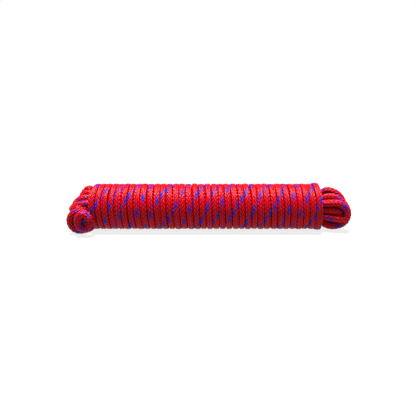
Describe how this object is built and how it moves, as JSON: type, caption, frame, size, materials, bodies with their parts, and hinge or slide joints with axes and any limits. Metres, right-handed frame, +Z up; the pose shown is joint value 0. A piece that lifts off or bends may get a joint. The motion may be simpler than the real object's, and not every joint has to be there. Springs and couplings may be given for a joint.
{
  "type": "coiled dock line",
  "caption": "Hank of braided dock line: a rope folded into a lengthwise skein, wrapped tightly along its middle, with open bights at both ends and a curled tail.",
  "frame": {"origin": "middle of the hank's length, on the flat underside where the wrapping turns rest", "axes": "+X along the hank from the short left-hand bights to the long right-hand bights, +Z up from the resting face, -Y the front with the curled tail"},
  "size_m": [0.4508, 0.0869, 0.0725],
  "materials": {
    "braided_rope": "sixteen-strand braided nylon cover, red with a pair of blue tracer strands",
    "sealed_end": "melted and hardened nylon, smooth and dark"
  },
  "bodies": {
    "root": {"wrapping_turns": "braided_rope", "skein_run_01": "braided_rope", "skein_run_02": "braided_rope", "skein_run_03": "braided_rope", "skein_run_04": "braided_rope", "skein_run_05": "braided_rope", "skein_run_06": "braided_rope", "skein_run_07": "braided_rope", "skein_run_08": "braided_rope", "skein_run_09": "braided_rope", "skein_run_10": "braided_rope", "skein_run_11": "braided_rope", "skein_run_12": "braided_rope", "skein_run_13": "braided_rope", "skein_run_14": "braided_rope", "skein_run_15": "braided_rope", "skein_run_16": "braided_rope", "skein_run_17": "braided_rope", "right_bight_1": "braided_rope", "right_bight_2": "braided_rope", "right_bight_3": "braided_rope", "right_bight_4": "braided_rope", "right_bight_5": "braided_rope", "right_bight_6": "braided_rope", "right_bight_7": "braided_rope", "right_bight_8": "braided_rope", "left_bight_1": "braided_rope", "left_bight_2": "braided_rope", "left_bight_3": "braided_rope", "left_bight_4": "braided_rope", "left_bight_5": "braided_rope", "left_bight_6": "braided_rope", "left_bight_7": "braided_rope", "left_bight_8": "braided_rope", "crossover_bight": "braided_rope", "tail": "braided_rope", "first_end": "braided_rope", "tail_sealed_tip": "sealed_end", "first_sealed_tip": "sealed_end"}
  },
  "joints": []
}
